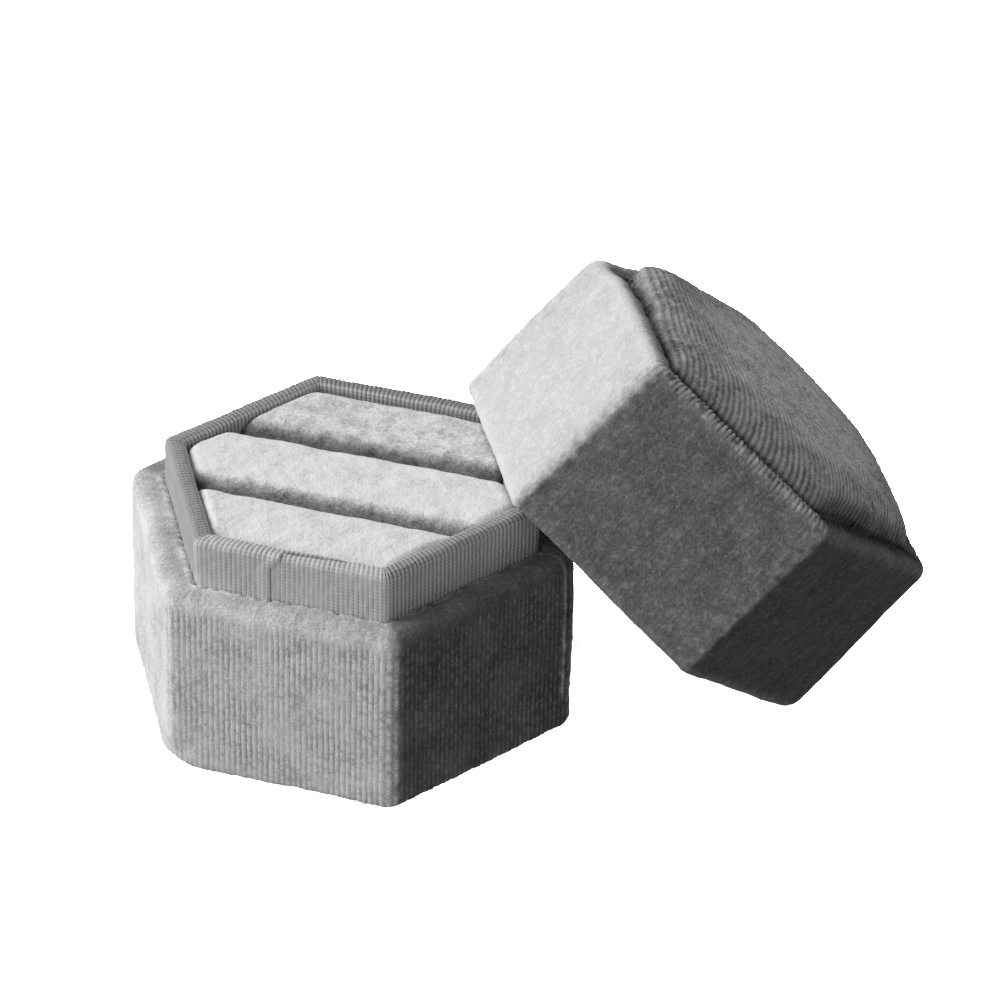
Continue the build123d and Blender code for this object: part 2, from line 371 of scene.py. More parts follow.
def faceBlend(facing, perFace):
    # each face's tone, blended round the corners by the way the cloth faces
    angles = np.degrees(np.mod(facing, 2 * np.pi))
    return np.interp(angles, 30 + 60 * np.arange(-1, 7), [perFace[-1], *perFace, perFace[0]])


def cornerGlow(turn, side, width):
    # 1 on an upright corner, fading over width millimetres of a side: exp(-(distance / width) squared)
    away = np.abs(np.mod(turn + 0.5, 1) - 0.5) * side
    return np.exp(-(away / width) ** 2)


def sweepRound(line, normals, corners, columns, lift):
    # the profile carried round the hexagon; lift moves each point along its own normal
    turn = np.arange(columns) * 6 / columns
    corners = corners.reshape(len(line), -1)        # one radius a row, or one for each point
    x, y, facing = hexOutline(turn[None, :], line[:, :1] + normals[:, :1] * lift,
                              np.maximum(corners + normals[:, :1] * lift, 0.05))
    z = line[:, 1:] + normals[:, 1:] * lift
    return np.stack([x, y, np.broadcast_to(z, x.shape)], -1), np.broadcast_to(facing, x.shape)


def clothCorners(corners, columns, line, sideLength):
    # the cloth's two directions in millimetres, at the corners of each face
    lengths = np.r_[0, np.cumsum(np.linalg.norm(np.roll(line, -1, 0) - line, axis=1))]
    return np.stack([corners[..., 1] * 6 / columns * sideLength, lengths[corners[..., 0]]], -1)


def makeTubWrap():
    # the wrap's cross-section carried round the hexagon, then moved outwards at each point by pile thickness
    # + rib height x fade x wear + puffed shoulder - rubbed corner + tufts at the neck + grain
    s = tub
    shoulder, foot, neckEdge = s["shoulder"], s["foot"], s["neckEdge"]
    outer, board = tubApothem, tubApothem - s["velvet"]
    inner = board - s["board"]
    under, boardTop = tubFoot + s["velvet"], tubHeight - s["velvet"]
    line, normals = profile(
        [(inner, boardTop, 1), *arc((inner + neckEdge, tubHeight - neckEdge), neckEdge, 180, 90, 4)]
        + arc((outer - shoulder, tubHeight - shoulder), shoulder, 90, 0, 6)
        + arc((outer - foot, tubFoot + foot), foot, 0, -90, 5)
        + [(outer - s["hem"], tubFoot, 2), (outer - s["hem"], under, 3), (board, under, 4),
           (board, boardTop, 3)], s["spacing"])
    reach, height = line[:, 0], line[:, 1]
    seen = (reach > board + 0.05) | (height > boardTop + 0.05) | (height < under - 0.05)
    corners = np.where(seen, np.maximum(s["corner"] - (outer - reach) * 0.55, 0.9), hiddenCorner)
    turn = np.arange(s["columns"]) * 6 / s["columns"]
    flat = np.zeros((len(line), s["columns"]))
    spots, facing = sweepRound(line, normals, corners, s["columns"], flat)
    fade = smooth(tubHeight - height, s["smoothBand"] * 0.4, s["smoothBand"])
    fade = (fade * smooth(reach, outer - shoulder, outer - 0.3))[:, None] + flat
    wear = (0.9 + 0.25 * ripple(spots, 7, 11)) * faceBlend(facing, s["ribFaces"])
    # the pile stands thick on the sides and shoulder and is pressed thin under the foot
    thick = smooth(reach, inner - 0.8, outer - 0.6) * smooth(height, tubFoot - 0.3, 0.6)
    thick = s["thinPile"] + (s["pile"] - s["thinPile"]) * thick
    tufts = (ribs(turn * s["side"], s["pitch"]) - ribMean)[None, :]
    lift = thick[:, None] + s["ribDepth"] * tufts * fade * wear
    lift += faceBlend(facing, s["puff"]) * smooth(height, tubHeight - 1.2, tubHeight - 0.2)[:, None]
    rubbed = s["rubbed"]["depth"] * np.exp(-((turn - s["rubbed"]["corner"]) / s["rubbed"]["width"]) ** 2)
    lift -= rubbed * (1 - smooth(height, 0.2, s["rubbed"]["height"]))[:, None]
    tufted = np.exp(-((reach - inner - 0.35) / 0.4) ** 2)[:, None] * (height > boardTop)[:, None]
    lift += tufted * (0.16 + 0.14 * ripple(spots, 1.1, 16))            # a rough lip of pile against the neck
    lift += grainOf(spots, s["grain"])
    spots, facing = sweepRound(line, normals, corners, s["columns"], lift * seen[:, None])
    # painted light and shade of each face, with a painted highlight on the upright corners
    paintedShading = faceBlend(facing, s["perFace"]) + s["edgeHighlight"] * cornerGlow(turn, s["side"], s["highlightWidth"])[None, :]
    # upward-facing cloth gets its own painted tone
    topness = smooth(normals[:, 1:], 0.1, 0.95) * seen[:, None]
    paintedShading = paintedShading * (1 - topness) + topness * (paintedShading * 0.55 + 0.13)
    # a painted highlight on the lip of pile against the neck
    paintedShading = paintedShading + tufted * (0.20 + 0.25 * ripple(spots, 0.9, 15)) * (0.35 + paintedShading)
    # a painted highlight line down one side
    rimHighlight = np.exp(-((turn - s["rimHighlight"]["at"]) * s["side"] / s["rimHighlight"]["width"]) ** 2)
    rimHighlight = rimHighlight * smooth(height, 3, 6)[:, None]
    paintedShading = paintedShading + rimHighlight * (s["rimHighlight"]["light"] + 0.15 * ripple(spots, 1.6, 17))
    paintedShading = paintedShading * (0.2 + 0.8 * smooth(height, 0.1, 0.95))[:, None]       # painted shade: the hem darkens towards the floor
    quads, places = gridFaces(len(line), s["columns"], True, True)
    piece = makePiece("tub_velvet_skin", spots, quads, atTub,
                      uv=clothCorners(places, s["columns"], line, s["side"]),
                      tone={"paintedShading": paintedShading, "ribs": fade * np.clip(wear, 0.2, 1.3)})
    return dress(piece, velvet("tub velvet", tubCloth), "base", "tub_velvet", "base_velvet_wrap")


makeTubWrap()
print("tub wrapped")

# neck: ribbed ribbon folded over the card collar

neck = {
    "columns": 960, "spacing": 0.3, "side": 23.77, "pitch": 0.59425, "ribDepth": 0.07, "corner": 1.0,
    "round": 0.7, "card": 1.2, "ribbon": 0.45, "inside": 5.0, "stand": 0.12,
    # the seam's light is a painted highlight beside its lap
    "seam": {"at": -2.6, "lean": 1.4, "rise": 0.16, "light": 0.30},
    "slit": {"ends": (-1.2, 6.8), "inward": (1.1, 0.45), "width": 0.2, "depth": 0.3},
    "grain": ((0.03, 1.2, 22), (0.05, 9, 23)),
    # the face tones below are painted light and shade, at 30, 90 ... 330 degrees
    "perFace": (0.33, 0.37, 0.57, 0.57, 1.32, 0.60), "ribFaces": (1.0, 1.0, 0.8, 0.12, 1.0, 1.0),
}
ribbonCloth = {
    "pitch": neck["pitch"], "weave": 0.46, "fibre": 0.22, "patch": 4.0, "ribShade": 1.0, "weaveShade": 0.34,
    "fibreShade": 0.55, "patchShade": 0.3, "deep": (0.030, 0.030, 0.030), "bright": (0.72, 0.715, 0.715),
    "relief": 0.05,
}


def ribbonFinish():
    # grosgrain: upright ribs crossed by fine weft lines, warm grey
    s, cloth = ribbonCloth, Finish("neck ribbon")
    across, down = cloth.cloth()
    paintedShading, seam, worn = cloth.painted("paintedShading"), cloth.painted("seam"), cloth.painted("ribs")
    crest = 1 - ((across / s["pitch"] % 1.0) * 2 - 1) ** 2
    sag = (cloth.noise(2.5, 1.0) - 0.5) * 0.5
    weft = 1 - (((down + sag) / s["weave"] % 1.0) * 2 - 1) ** 2
    fibre = cloth.noise(s["fibre"], 3.0, 0.65)
    patch = cloth.noise(s["patch"], 2.0, 0.55)
    tone = (1 + (crest - 0.62) * worn * s["ribShade"] + (weft - 0.62) * worn * s["weaveShade"]
            + (fibre - 0.5) * (0.3 + worn * 0.7) * s["fibreShade"] + (patch - 0.5) * s["patchShade"])
    # the seam tone is painted shade in the seam's crease and in the slit
    share = (paintedShading * tone * (1 - seam * 0.75)).clamp()
    cloth.look(Base_Color=cloth.blend(share, s["deep"], s["bright"]), Roughness=0.7,
               Specular_IOR_Level=0.25, Sheen_Weight=0.1, Sheen_Roughness=0.4)
    cloth.bump((crest * 0.4 + weft * 0.6) * worn + fibre * 0.25, s["relief"], 0.9)
    return cloth.material


def makeNeckRibbon():
    # the folded ribbon's cross-section carried round the hexagon, then moved outwards at each point by
    # rib height x wear, deeper on the rim, + grain + the lap of the seam - the slit
    s, seam, slit = neck, neck["seam"], neck["slit"]
    outer, inner = neckApothem, neckApothem - 2 * s["ribbon"] - s["card"]
    cardOut, cardIn, bend = outer - s["ribbon"], inner + s["ribbon"], s["round"]
    line, normals = profile(
        [(inner, neckTop - s["inside"], 1)] + arc((inner + bend, neckTop - bend), bend, 180, 90, 6)
        + arc((outer - bend, neckTop - bend), bend, 90, 0, 6)
        + [(outer, neckFoot, 1), (cardOut, neckFoot, 4), (cardOut, neckTop - s["ribbon"], 3),
           (cardIn, neckTop - s["ribbon"], 3), (cardIn, neckTop - s["inside"], 1)], s["spacing"])
    reach, height = line[:, 0], line[:, 1]
    seen = (reach > cardOut + 0.05) | (height > neckTop - s["ribbon"] + 0.05) | (reach < cardIn - 0.05)
    corners = np.where(seen, np.maximum(s["corner"] - (outer - reach) * 0.4, 0.25), hiddenCorner)
    flat = np.zeros((len(line), s["columns"]))
    spots, facing = sweepRound(line, normals, corners, s["columns"], flat)
    along = np.arange(s["columns"]) * 6 / s["columns"] * s["side"]
    x, y = spots[..., 0], spots[..., 1]
    # the seam shows on the front face only, and leans over at the rim
    front = smooth(-y, 15, 17) * (reach > cardOut - 0.2)[:, None]
    fold = seam["at"] + seam["lean"] * smooth(height, neckTop - 2.2, neckTop - 0.1)[:, None]
    lap = front * smooth(fold - x, 0.0, 0.12) * (1 - smooth(fold - x, 0.7, 1.6))
    slitReach = inner + np.interp(x, slit["ends"], slit["inward"])
    start, end = slit["ends"]
    cut = np.exp(-((reach[:, None] - slitReach) / slit["width"]) ** 2) * (height > neckTop - 0.6)[:, None]
    cut = cut * (y < -15) * smooth(x, start, start + 0.3) * (1 - smooth(x, end - 0.5, end))
    # the rim is ribbed all round, the faces as each one shows
    ribbed = faceBlend(facing, s["ribFaces"]) + (1 - normals[:, :1]).clip(0, 1) * 0.8
    ribbed = np.clip(ribbed, 0, 1) * (0.85 + 0.25 * ripple(spots, 5, 21))
    deeper = 1 + 0.4 * smooth(normals[:, 1:], 0.3, 0.9)
    lift = s["ribDepth"] * (ribs(along, s["pitch"]) - ribMean)[None, :] * ribbed * deeper
    lift = lift + grainOf(spots, s["grain"]) + lap * seam["rise"] - cut * slit["depth"] + s["stand"]
    spots, facing = sweepRound(line, normals, corners, s["columns"], lift * seen[:, None])
    # painted shade in the crease by the seam's lap
    crease = front * np.exp(-((x - fold - 0.13) / 0.12) ** 2)
    # painted light and shade of each face, and a painted highlight on the lap
    paintedShading = faceBlend(facing, s["perFace"]) + lap * seam["light"] * smooth(x, fold - 1.1, fold - 0.4)
    # tops and inward faces get their own painted tones
    topness = smooth(normals[:, 1:], 0.2, 0.95)
    inwards = smooth(-normals[:, :1], 0.3, 0.9)
    paintedShading = paintedShading * (1 - topness) * (1 - inwards) + topness * (paintedShading * 0.5 + 0.16) + inwards * 0.45
    quads, places = gridFaces(len(line), s["columns"], True, True)
    # the seam tone is painted shade in the crease and in the slit
    piece = makePiece("neck_ribbon_skin", spots, quads, atTub,
                      uv=clothCorners(places, s["columns"], line, s["side"]),
                      tone={"paintedShading": paintedShading, "seam": np.clip(crease + cut * 1.2, 0, 1), "ribs": ribbed})
    return dress(piece, ribbonFinish(), "base", "neck_ribbon", "neck_ribbon")


makeNeckRibbon()
print("neck covered")

# ring pads: three crowned velvet bars with a slot between neighbours

pads = {
    "rows": 110, "columns": 230, "limit": 18.36, "crown": 0.7, "shoulder": 2.3, "pile": 0.12, "corner": 0.9,
    "press": 0.92, "seed": 31,
    "bars": {       # rearFall is how much of the crown's fall the rear half has; light is each bar's painted light, lower on the back bar, and slotShade painted shade before each slot
        "front": {"front": -18.36, "back": -6.88, "end": 1.1, "rearFall": 1, "light": 1.08, "slotShade": 0},
        "middle": {"front": -6.62, "back": 6.62, "end": 1.3, "rearFall": 1, "light": 1.08, "slotShade": 0.8},
        "back": {"front": 6.88, "back": 18.36, "end": 1.0, "rearFall": 0, "light": 0.84, "slotShade": 0.8},
    },
}
padCloth = {
    "pitch": 0.9, "dash": 0.8, "pile": 0.34, "stroke": (0.7, 0.5), "patch": 1.7, "wander": 0.3,
    "wanderSize": 5.0, "ribShade": 0.05, "dashShade": 0.05, "pileShade": 0.75, "strokeShade": 0.3,
    "calm": 0.75, "ribCalm": 0.0, "patchShade": 1.5, "deep": (0.03, 0.03, 0.031),
    "bright": (0.95, 0.95, 0.96), "sheen": 0.25, "sheenTint": (0.9, 0.9, 0.92), "relief": 0.10,
}


def fallAway(inward, width, drop=None):
    # a quarter of an ellipse: no drop at width inward, all of it at the edge, where it is upright
    left = np.clip(1 - inward / width, 0, 1)
    return (width if drop is None else drop) * (1 - np.sqrt(1 - left ** 2))


def spread(count, crowding=0.72):
    # 0 to 1 with steps that shorten towards both ends
    even = np.linspace(-1, 1, count)
    return 0.5 + 0.5 * np.sin(even * np.pi / 2) * crowding + 0.5 * even * (1 - crowding)


def makePad(name, bar, seed):
    # height over (x, y) = top - crown x (distance from the bar's middle) squared - an elliptical fall at the
    # slots - one at the ends + ripples; the rim then goes down to the platform and is closed underneath
    s = pads
    rows, columns, front, back = s["rows"], s["columns"], bar["front"], bar["back"]
    y = front + (back - front) * spread(rows)[:, None]
    # half the bar's length is the tub's hexagon, blunt at its tip
    side = (s["limit"] - 0.5 * np.sqrt(y * y + 1.2)) / np.cos(np.radians(30))
    side = side - fallAway(np.minimum(y - front, back - y), s["corner"]) * 0.8      # corners rounded in plan
    x = side * (2 * spread(columns)[None, :] - 1)
    y = np.broadcast_to(y, x.shape)
    fromSlots = np.minimum(y - front, back - y)
    fromEnds = (side - np.abs(x)) * np.cos(np.radians(30))
    half = (back - front) / 2
    fall = s["crown"] * ((y - front - half) / half) ** 2 * np.where(y < front + half, 1, bar["rearFall"])
    drop = fallAway(fromSlots, s["shoulder"]) + fallAway(fromEnds, bar["end"])
    flat = np.stack([x, y, np.zeros_like(x)], -1)
    dents = 0.10 * ripple(flat, 7, seed) * smooth(np.minimum(fromSlots, fromEnds), 0, 1.2)
    dents = dents + grainOf(flat, ((0.018, 0.9, seed + 1), (0.05, 2.6, seed + 2)))
    sheet = np.stack([x, y, padHigh[2] + s["pile"] - fall - drop * s["press"] + dents], -1)
    quads = gridFaces(rows, columns, False, False)[0]
    around = np.concatenate([np.arange(columns), columns * np.arange(2, rows) - 1,
                             rows * columns - 1 - np.arange(columns), columns * np.arange(rows - 2, 0, -1)])
    rim = sheet.reshape(-1, 3)[around]
    steps = np.array([0.12, 0.35, 0.7, 1.0])[:, None]
    skirt = np.stack([rim[:, 0] + 0 * steps, rim[:, 1] + 0 * steps,
                      rim[:, 2] + (padLow[2] - rim[:, 2]) * steps], -1)
    spots = np.vstack([sheet.reshape(-1, 3), skirt.reshape(-1, 3), [[0, (front + back) / 2, padLow[2]]]])
    first = rows * columns
    loops = np.vstack([around, first + np.arange(len(steps) * len(around)).reshape(len(steps), -1)])
    here, there = loops[:-1], loops[1:]
    walls = np.stack([here, np.roll(here, -1, 1), np.roll(there, -1, 1), there], -1).reshape(-1, 4)
    fan = np.stack([loops[-1], np.roll(loops[-1], -1), np.full(len(around), len(spots) - 1)], -1)
    faces = quads.tolist() + walls.tolist() + fan.tolist()
    uv = np.concatenate([spots[np.ravel(face)][:, :2] for face in (quads, walls, fan)])
    # painted shade: the slope towards the viewer's side of each slot is darker than the one behind it, and
    # each bar's back edge and ends are darker too
    shade = (1 - bar["slotShade"] * (1 - smooth(y - front, 0.3, 2.5))
             - 0.25 * np.exp(-((back - y) / 0.35) ** 2) - 0.2 * np.exp(-(fromEnds / 0.5) ** 2))
    # the sides and underside get a low painted shade
    paintedShading = np.concatenate([(bar["light"] * shade).ravel(), np.full(len(spots) - first, 0.2)])
    piece = makePiece(f"pad_velvet_{name}", spots, faces, atTub, uv=uv,
                      tone={"paintedShading": paintedShading, "ribs": np.full(len(spots), 0.3)}, weld=True)
    dress(piece, padFinish, "base", "pad_velvet", f"pad_cover_{name}")


padFinish = velvet("pad velvet", padCloth)
for place, (name, bar) in enumerate(pads["bars"].items()):
    makePad(name, bar, pads["seed"] + 3 * place)
print("pads filled")

# lid: velvet over the side boards, round the mouth and into the recess of the top

lid = {
    "columns": 960, "spacing": 0.55, "side": 27.1, "pitch": 0.6775, "ribDepth": 0.02, "crestDepth": 0.34,
    "mouthPile": (0.5, 0.8, 1.4, 1.05, 0.6, 0.95), "crownPile": (0.5, 0.8, 2.2, 0.8, 0.6, 0.8),
    "grain": ((0.022, 1.3, 51), (0.04, 3.2, 52), (0.10, 15, 53)),
    "corner": (0.9, 1.7), "softCorners": {3: 2.6, 0: 0.9, 6: 0.9},
    "pressed": {"corner": 3, "depth": 1.3, "width": (0.5, 0.16)},       # one corner, before and past it
    # the bead and corner tones are painted highlight, the top tones painted shade
    "beadLight": (0.1, 0.1, 0.2, 0.03, 0.40, 0.03), "topShade": (0.4, 0.4, 0.4, 0.5, 0.1, 0.8),
    "litCorner": {"corner": 5, "width": 0.45, "light": 0.10}, "round": 1.35, "rim": 0.6, "lip": 0.6,
    "crease": 0.45, "velvet": 0.8, "board": 1.5, "lining": 0.35, "hem": 0.6, "recess": 2.6,
    # the face tones on this line are painted light and shade, the edge ones a painted highlight
    "perFace": (0.12, 0.2, 0.6, 0.90, 0.27, 0.075), "edgeHighlight": 0.11, "highlightWidth": 0.5, "strayWidth": 2.2,
}
lidCloth = {
    "pitch": lid["pitch"], "dash": 0.8, "pile": 0.32, "stroke": (0.75, 0.5), "patch": 3.0, "wander": 0.25,
    "wanderSize": 5.0, "ribShade": 0.5, "dashShade": 0.4, "pileShade": 0.55, "strokeShade": 0.5,
    "calm": 1.05, "ribCalm": 0.0, "patchShade": 0.8, "deep": (0.012, 0.012, 0.013),
    "bright": (0.80, 0.80, 0.81), "sheen": 0.25, "sheenTint": (0.9, 0.9, 0.92), "relief": 0.14,
}


def makeLidWrap():
    # the wrap's cross-section carried round the hexagon, then moved outwards at each point by pile thickness
    # + tufts along the top edge + grain, with one corner of the top pressed down
    s = lid
    outer = ((nodeSpots("lid_velvet_wrap") - lidRim) @ alongWay(lidX, lidY, 30)).max()
    top, velvetThick, bend = lidHeight, s["velvet"], s["round"]
    rim, lip, crease = s["rim"], s["lip"], s["crease"]
    board = outer - velvetThick
    inner = board - s["board"]
    mouth, hem, floor = inner - s["lining"], inner - s["hem"], top - s["recess"]
    line, normals = profile(
        [(inner, floor, 2), (hem, floor, 1)] + arc((hem + crease, top - crease), crease, 180, 90, 4)
        + arc((outer - bend, top - bend), bend, 90, 0, 7)
        + arc((outer - rim, rim), rim, 0, -90, 5)
        + arc((mouth + lip, lip), lip, -90, -180, 4)
        + [(mouth, velvetThick, 3), (board, velvetThick, 3), (board, top - velvetThick, 3),
           (inner, top - velvetThick, 2)], s["spacing"])
    reach, height = line[:, 0], line[:, 1]
    hidden = ((reach > inner - 0.02) & (reach < board + 0.02) & (height > velvetThick - 0.02)
              & (height < top - velvetThick + 0.02))
    seen = ~hidden & ~((reach < inner) & (np.abs(height - velvetThick) < 0.02))
    turn = np.arange(s["columns"]) * 6 / s["columns"]
    upper = smooth(height, 4, top - 2)[:, None]                        # corners are softer towards the top
    rounded = s["corner"][0] + (s["corner"][1] - s["corner"][0]) * upper
    for corner, extra in s["softCorners"].items():
        rounded = rounded + extra * upper * np.clip(1 - np.abs(turn - corner) * 2, 0, 1)
    corners = np.where(seen[:, None], np.maximum(rounded - (outer - reach)[:, None] * 0.5, 0.4), hiddenCorner)
    flat = np.zeros((len(line), s["columns"]))
    spots, facing = sweepRound(line, normals, corners, s["columns"], flat)
    crest = (smooth(height, top - 1.1, top - 0.2) * smooth(outer - reach, 0.3, 1.1))[:, None] + flat
    tufts = (ribs(turn * s["side"], s["pitch"]) - ribMean)[None, :]
    # the pile's thickness goes from the mouth's to the top's up each face, and to nothing on the hidden edges
    atMouth, atTop = faceBlend(facing, s["mouthPile"]), faceBlend(facing, s["crownPile"])
    climb = np.clip(height / top, 0, 1) * (1 - 0.7 * smooth(height, top - 1.5, top))
    shown = smooth(reach, inner + 0.4, outer - 0.2) * smooth(height, -0.9, 0.6)
    thick = (atMouth + (atTop - atMouth) * climb[:, None]) * shown[:, None]
    lift = thick + tufts * (s["ribDepth"] + crest * s["crestDepth"]) + grainOf(spots, s["grain"])
    lift = lift + crest * 0.10 * ripple(spots, 1.5, 54)
    spots, facing = sweepRound(line, normals, corners, s["columns"], lift * seen[:, None])
    pressed, past = s["pressed"], turn > s["pressed"]["corner"]
    width = np.where(past, pressed["width"][1], pressed["width"][0])
    dip = np.exp(-((turn - pressed["corner"]) / width) ** 2) * (1 + 0.5 * (turn < pressed["corner"]))
    spots[..., 2] -= pressed["depth"] * dip * smooth(spots[..., 2], top - 6, top)
    # painted highlight on the edges: the upright corners, the mouth's rim and the top edge
    edge = cornerGlow(turn, s["side"], s["highlightWidth"])[None, :] * (1.3 + 0.9 * ripple(spots, 1.2, 57))
    edge = edge + (0.8 * (1 - smooth(height, 0.2, 1.5)) + smooth(height, top - 1.6, top - 0.4))[:, None]
    stray = grainOf(spots, ((0.20, 1.6, 56), (0.12, 0.7, 59)))
    stray = stray * cornerGlow(turn, s["side"], s["strayWidth"])[None, :]
    # painted light and shade of each face, blended unevenly near the corners, plus the painted edge highlight
    paintedShading = faceBlend(facing + stray, s["perFace"]) + s["edgeHighlight"] * np.clip(edge, 0, 1.3)
    lit = s["litCorner"]                                               # painted highlight along one upright edge
    cornerHighlight = np.exp(-((turn - lit["corner"]) * s["side"] / lit["width"]) ** 2)
    cornerHighlight = cornerHighlight * smooth(height, 0.5, 2)[:, None]
    paintedShading = paintedShading + cornerHighlight * (lit["light"] + 0.09 * ripple(spots, 1.0, 60))
    # painted highlight on the tufts along the top edge
    upperEdge = smooth(height, top - 1.15, top - 0.5)[:, None]
    beads = 0.35 + 0.8 * tufts * (1 + ripple(spots, 2.1, 58)) + 0.6 * ripple(spots, 1.1, 55)
    paintedShading = paintedShading + upperEdge * beads * faceBlend(facing, s["beadLight"])
    # painted shade over the top edge of some faces
    paintedShading = paintedShading * (1 - faceBlend(facing, s["topShade"]) * upperEdge * smooth(outer - reach, 0.2, 1.2)[:, None])
    # painted shade down in the recess
    recessShade = (reach < inner + 0.1) * smooth(top - height, 0.5, 1.2)
    paintedShading = paintedShading * (1 - 0.8 * recessShade)[:, None]
    quads, places = gridFaces(len(line), s["columns"], True, True)
    piece = makePiece("lid_velvet_skin", spots, quads, atLid,
                      uv=clothCorners(places, s["columns"], line, s["side"]),
                      tone={"paintedShading": paintedShading, "ribs": 0.08 + crest * 0.9})
    return dress(piece, velvet("lid velvet", lidCloth), "lid", "lid_velvet", "lid_velvet_wrap")


makeLidWrap()
print("lid wrapped")

# crown: the padded top in the lid's recess, cover and foam as one cushion

crown = {
    "columns": 780, "rings": 120, "apothem": 20.37, "corner": 2.5, "cornerShare": 0.13, "radius": 150.0,
    "crowding": 0.93, "below": 0.5, "cloth": 0.8, "pitch": 0.76, "ribsAcross": 30, "ribDepth": 0.08,
    "roundness": 0.85, "tiltWidth": 2.2,
    "borders": (2.0, 2.0, 2.0, 2.4, 2.7, 2.6), "banks": (4.0, 5.0, 4.5, 5.5, 7.0, 5.5),
    "sinks": ((0.45, 15, 0, 20), (0.6, 210, -4, 20)),       # depth, direction, where it starts and is full
    "upperEnd": (1.35, 24.0),       # how far the cushion's upper corner stands proud, over how many degrees
    "gap": {"width": 0.95, "at": -43, "spread": 17, "side": 330},       # one side stands off the wall
    "grain": ((0.05, 0.9, 63), (0.05, 5, 64)), "bend": (0.12, 9, 61), "ribReach": (4, 4, 5, 7, 6, 6),
    "sideShade": (0.2, 0.2, 0.2, 0.05, 0.1, 0.65),
}
crownCloth = {
    "pitch": crown["pitch"], "dash": 0.9, "pile": 0.28, "stroke": (0.6, 0.5), "patch": 2.4, "wander": 0.1,
    "wanderSize": 7.0, "ribShade": 0.66, "dashShade": 0.5, "pileShade": 1.35, "strokeShade": 1.0,
    "calm": 0.6, "ribCalm": 0.7, "patchShade": 1.3, "deep": (0.013, 0.0125, 0.013),
    "bright": (0.80, 0.785, 0.79), "sheen": 0.3, "sheenTint": (0.9, 0.89, 0.9), "relief": 0.14,
}


def makeCrown():
    # height over rings of a hexagon that grows rounder inwards = peak - distance squared / (2 x radius)
    # - an elliptical fall at the border - sinks + the upper corner's rise, then straight ribs laid over it
    s = crown
    columns, apothem = s["columns"], s["apothem"]
    turn = (np.arange(columns) * 6 / columns)[None, :]
    steep = np.pi / 2 * s["crowding"]
    share = (np.sin(np.linspace(0, 1, s["rings"]) * steep) / np.sin(steep))[:, None]      # closer at the edge
    corner = s["corner"] * share + s["roundness"] * apothem * share * (1 - share)
    x, y, facing = hexOutline(turn, apothem * share, corner, s["cornerShare"])
    facing = np.broadcast_to(facing, x.shape)
    inward, angle = apothem * (1 - share), np.degrees(np.arctan2(y, x))
    height = crownPeak - s["below"] - (x * x + y * y) / (2 * s["radius"])
    height = height - fallAway(inward, faceBlend(facing, s["banks"]), faceBlend(facing, s["borders"]))
    for depth, way, start, full in s["sinks"]:
        height = height - depth * smooth(alongWay(x, y, way), start, full)
    rise, breadth = s["upperEnd"]
    height = height + rise * np.exp(-((angle % 360 - 180) / breadth) ** 2) * smooth(share, 0.5, 0.95)
    gap, away = s["gap"], np.radians(s["gap"]["side"])
    pull = gap["width"] * np.exp(-((angle - gap["at"]) / gap["spread"]) ** 2) * smooth(share, 0.9, 1.0)
    x, y = x - pull * np.cos(away), y - pull * np.sin(away)
    flat = np.stack([x, y, np.zeros_like(x)], -1)
    bent = alongWay(x, y, s["ribsAcross"]) + grainOf(flat, [s["bend"]])          # the ribs wander a little
    ribReach = faceBlend(facing, s["ribReach"])
    strength = 0.25 + 0.75 * (1 - smooth(inward, ribReach, ribReach + 5))
    strength = np.clip(strength * (0.85 + 0.35 * ripple(flat, 6, 62)), 0.05, 1.2)
    lift = s["ribDepth"] * (ribs(bent, s["pitch"]) - ribMean) * strength + grainOf(flat, s["grain"])
    tiltOut = np.clip(1 - inward / s["tiltWidth"], 0, 1)                        # 0 on the dome, 1 on its side
    outside = np.stack([x + lift * tiltOut * np.cos(facing), y + lift * tiltOut * np.sin(facing),
                        height + lift * np.sqrt(1 - tiltOut ** 2)], -1)
    low, edge, drops = crownFloor + 0.05, outside[-1], np.array([0.4, 0.75, 1.0])[:, None]
    skirt = np.stack([edge[:, 0] + 0 * drops, edge[:, 1] + 0 * drops,
                      edge[:, 2] + (low - edge[:, 2]) * drops], -1)
    # underneath: a ledge round the card that carries it, then a flat middle on the card
    innerShare = np.array([1, 1, 0.6, 0.2, 0])[:, None]
    within, innerCorner = apothem - s["cloth"], s["corner"] - s["cloth"]
    underX, underY = hexOutline(turn, within * innerShare, innerCorner * innerShare, s["cornerShare"])[:2]
    onCard = ((nodeSpots("lid_crown_foam") - lidRim) @ lidUp).min()
    lining = np.stack([underX, underY, np.array([low] + 4 * [onCard])[:, None] + 0 * underX], -1)
    spots = np.concatenate([outside, skirt, lining])
    quads, places = gridFaces(len(spots), columns, False, True)
    across = alongWay(spots[..., 0], spots[..., 1], s["ribsAcross"])
    down = alongWay(spots[..., 1], -spots[..., 0], s["ribsAcross"])
    across[:len(bent)] = bent
    pick = (places[..., 0], places[..., 1] % columns)
    # painted shade towards the border, where the cushion falls away
    paintedShading = 0.50 + 0.34 * smooth(inward, 3, 10)
    paintedShading = paintedShading * (0.25 + 0.75 * smooth(height, lidHeight - 0.1, lidHeight + 0.7))        # painted shade down in the gap
    paintedShading = paintedShading * (1 - faceBlend(facing, s["sideShade"]) * (1 - smooth(inward, 0.2, 2.6)))
    # the skirt and the part underneath get a low painted shade
    rest = np.zeros((len(skirt) + len(lining), columns))
    paintedShading, strength = np.concatenate([paintedShading, rest + 0.2]), np.concatenate([strength, rest])
    piece = makePiece("crown_velvet_skin", spots, quads, atLid, uv=np.stack([across[pick], down[pick]], -1),
                      tone={"paintedShading": paintedShading, "ribs": strength}, weld=True)
    dress(piece, velvet("crown velvet", crownCloth), "lid", "crown_velvet",
          "lid_crown_cover", "lid_crown_foam")


makeCrown()
print("crown padded")

